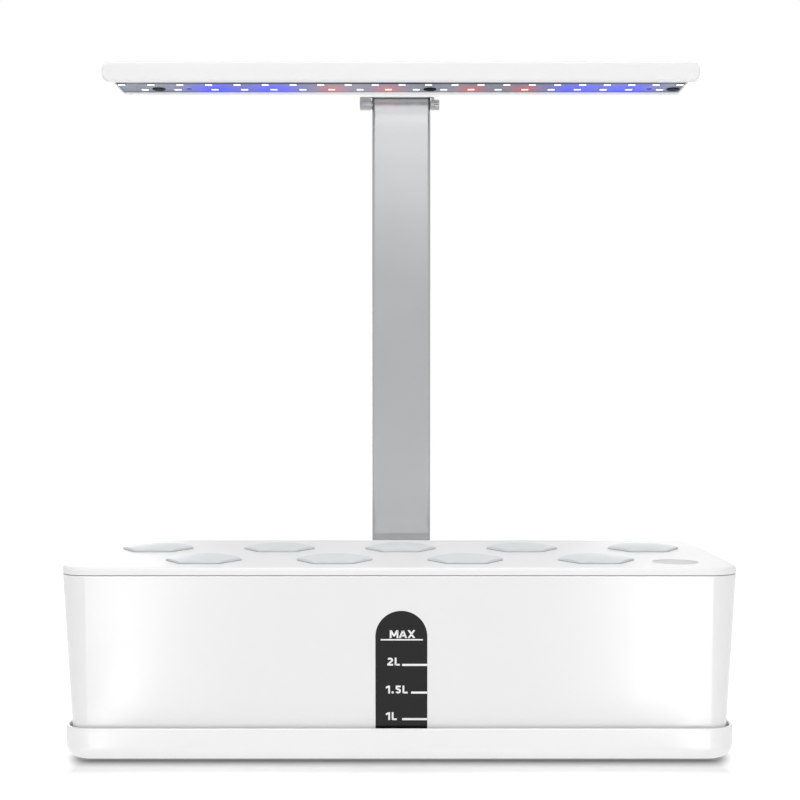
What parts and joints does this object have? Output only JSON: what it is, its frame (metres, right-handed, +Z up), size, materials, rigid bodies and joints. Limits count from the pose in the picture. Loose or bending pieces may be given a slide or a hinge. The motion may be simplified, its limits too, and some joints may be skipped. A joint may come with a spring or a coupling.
{
  "type": "countertop hydroponic garden",
  "caption": "Countertop hydroponic garden: white water tank on a drip tray, lid with hexagonal pod caps and a filler hole, level window, and a bar grow lamp hinged on a flat rear pole.",
  "frame": {"origin": "bottom centre of the whole, on the surface it stands on", "axes": "+X to the right (the long way), +Y to the back, +Z up; the level window faces -Y"},
  "size_m": [0.36, 0.1645, 0.3957],
  "materials": {
    "white_abs": "satin moulded",
    "lamp_white": "satin moulded",
    "foot_rubber": "matte",
    "smoked_window": "smoked clear",
    "screw_steel": "satin",
    "screw_black": "black oxide",
    "pole_aluminium": "satin anodised",
    "hinge_metal": "satin",
    "washer_nylon": "natural",
    "lead_black": "matte",
    "led_board": "solder mask",
    "led_white": "lit diode",
    "led_red": "lit diode",
    "led_blue": "lit diode",
    "button_grey": "satin moulded",
    "switch_black": "moulded",
    "circuit_green": "solder mask",
    "pump_black": "moulded",
    "rotor_grey": "moulded",
    "basket_plastic": "moulded",
    "sponge": "open foam",
    "cap_frosted": "frosted clear"
  },
  "bodies": {
    "base": {"drip_tray": "white_abs", "tray_feet": "foot_rubber", "water_tank": "white_abs", "level_window": "smoked_window", "rear_housing": "white_abs", "housing_cover": "white_abs", "housing_screws": "screw_steel", "pole": "pole_aluminium", "pole_screws": "screw_steel", "pole_plug": "hinge_metal", "pole_lead": "lead_black", "power_switch": "switch_black", "control_board": "circuit_green", "dc_jack": "switch_black", "pump_body": "pump_black", "pump_cover": "pump_black", "impeller_shaft": "screw_steel", "pump_lead": "lead_black", "lead_grommet": "foot_rubber"},
    "deck": {"deck": "white_abs"},
    "lamp": {"lamp_housing": "lamp_white", "led_board": "led_board", "leds_white": "led_white", "leds_red": "led_red", "leds_blue": "led_blue", "board_screws": "screw_black", "lamp_bracket": "hinge_metal", "bracket_screws": "screw_steel", "hinge_washers": "washer_nylon", "hinge_knob": "hinge_metal", "lamp_lead": "lead_black"},
    "power_button": {"power_button": "button_grey"},
    "impeller": {"impeller": "rotor_grey"},
    "pod_1": {"pod_basket_1": "basket_plastic", "pod_sponge_1": "sponge"},
    "cap_1": {"pod_cap_1": "cap_frosted"},
    "pod_2": {"pod_basket_2": "basket_plastic", "pod_sponge_2": "sponge"},
    "cap_2": {"pod_cap_2": "cap_frosted"},
    "pod_3": {"pod_basket_3": "basket_plastic", "pod_sponge_3": "sponge"},
    "cap_3": {"pod_cap_3": "cap_frosted"},
    "pod_4": {"pod_basket_4": "basket_plastic", "pod_sponge_4": "sponge"},
    "cap_4": {"pod_cap_4": "cap_frosted"},
    "pod_5": {"pod_basket_5": "basket_plastic", "pod_sponge_5": "sponge"},
    "cap_5": {"pod_cap_5": "cap_frosted"},
    "pod_6": {"pod_basket_6": "basket_plastic", "pod_sponge_6": "sponge"},
    "cap_6": {"pod_cap_6": "cap_frosted"},
    "pod_7": {"pod_basket_7": "basket_plastic", "pod_sponge_7": "sponge"},
    "cap_7": {"pod_cap_7": "cap_frosted"},
    "pod_8": {"pod_basket_8": "basket_plastic", "pod_sponge_8": "sponge"},
    "cap_8": {"pod_cap_8": "cap_frosted"},
    "pod_9": {"pod_basket_9": "basket_plastic", "pod_sponge_9": "sponge"},
    "cap_9": {"pod_cap_9": "cap_frosted"}
  },
  "joints": [
    {"name": "deck_lift", "type": "slide", "parent": "base", "child": "deck", "axis": [0, 0, 1], "range_m": [0, 0.06]},
    {"name": "lamp_tilt", "type": "hinge", "parent": "base", "child": "lamp", "pos_m": [0, 0.07185, 0.3799], "axis": [1, 0, 0], "range_deg": [-30, 90]},
    {"name": "power_press", "type": "slide", "parent": "base", "child": "power_button", "axis": [0, 0, -1], "range_m": [0, 0.001], "stiffness_N_per_m": 400, "springref_m": -0.0008},
    {"name": "impeller_spin", "type": "hinge", "parent": "base", "child": "impeller", "pos_m": [0.036, 0.03575, 0.021], "axis": [0, 1, 0], "continuous": true},
    {"name": "pod_1_lift", "type": "slide", "parent": "deck", "child": "pod_1", "axis": [0, 0, 1], "range_m": [0, 0.05]},
    {"name": "cap_1_lift", "type": "slide", "parent": "pod_1", "child": "cap_1", "axis": [0, 0, 1], "range_m": [0, 0.02]},
    {"name": "pod_2_lift", "type": "slide", "parent": "deck", "child": "pod_2", "axis": [0, 0, 1], "range_m": [0, 0.05]},
    {"name": "cap_2_lift", "type": "slide", "parent": "pod_2", "child": "cap_2", "axis": [0, 0, 1], "range_m": [0, 0.02]},
    {"name": "pod_3_lift", "type": "slide", "parent": "deck", "child": "pod_3", "axis": [0, 0, 1], "range_m": [0, 0.05]},
    {"name": "cap_3_lift", "type": "slide", "parent": "pod_3", "child": "cap_3", "axis": [0, 0, 1], "range_m": [0, 0.02]},
    {"name": "pod_4_lift", "type": "slide", "parent": "deck", "child": "pod_4", "axis": [0, 0, 1], "range_m": [0, 0.05]},
    {"name": "cap_4_lift", "type": "slide", "parent": "pod_4", "child": "cap_4", "axis": [0, 0, 1], "range_m": [0, 0.02]},
    {"name": "pod_5_lift", "type": "slide", "parent": "deck", "child": "pod_5", "axis": [0, 0, 1], "range_m": [0, 0.05]},
    {"name": "cap_5_lift", "type": "slide", "parent": "pod_5", "child": "cap_5", "axis": [0, 0, 1], "range_m": [0, 0.02]},
    {"name": "pod_6_lift", "type": "slide", "parent": "deck", "child": "pod_6", "axis": [0, 0, 1], "range_m": [0, 0.05]},
    {"name": "cap_6_lift", "type": "slide", "parent": "pod_6", "child": "cap_6", "axis": [0, 0, 1], "range_m": [0, 0.02]},
    {"name": "pod_7_lift", "type": "slide", "parent": "deck", "child": "pod_7", "axis": [0, 0, 1], "range_m": [0, 0.05]},
    {"name": "cap_7_lift", "type": "slide", "parent": "pod_7", "child": "cap_7", "axis": [0, 0, 1], "range_m": [0, 0.02]},
    {"name": "pod_8_lift", "type": "slide", "parent": "deck", "child": "pod_8", "axis": [0, 0, 1], "range_m": [0, 0.05]},
    {"name": "cap_8_lift", "type": "slide", "parent": "pod_8", "child": "cap_8", "axis": [0, 0, 1], "range_m": [0, 0.02]},
    {"name": "pod_9_lift", "type": "slide", "parent": "deck", "child": "pod_9", "axis": [0, 0, 1], "range_m": [0, 0.05]},
    {"name": "cap_9_lift", "type": "slide", "parent": "pod_9", "child": "cap_9", "axis": [0, 0, 1], "range_m": [0, 0.02]}
  ]
}
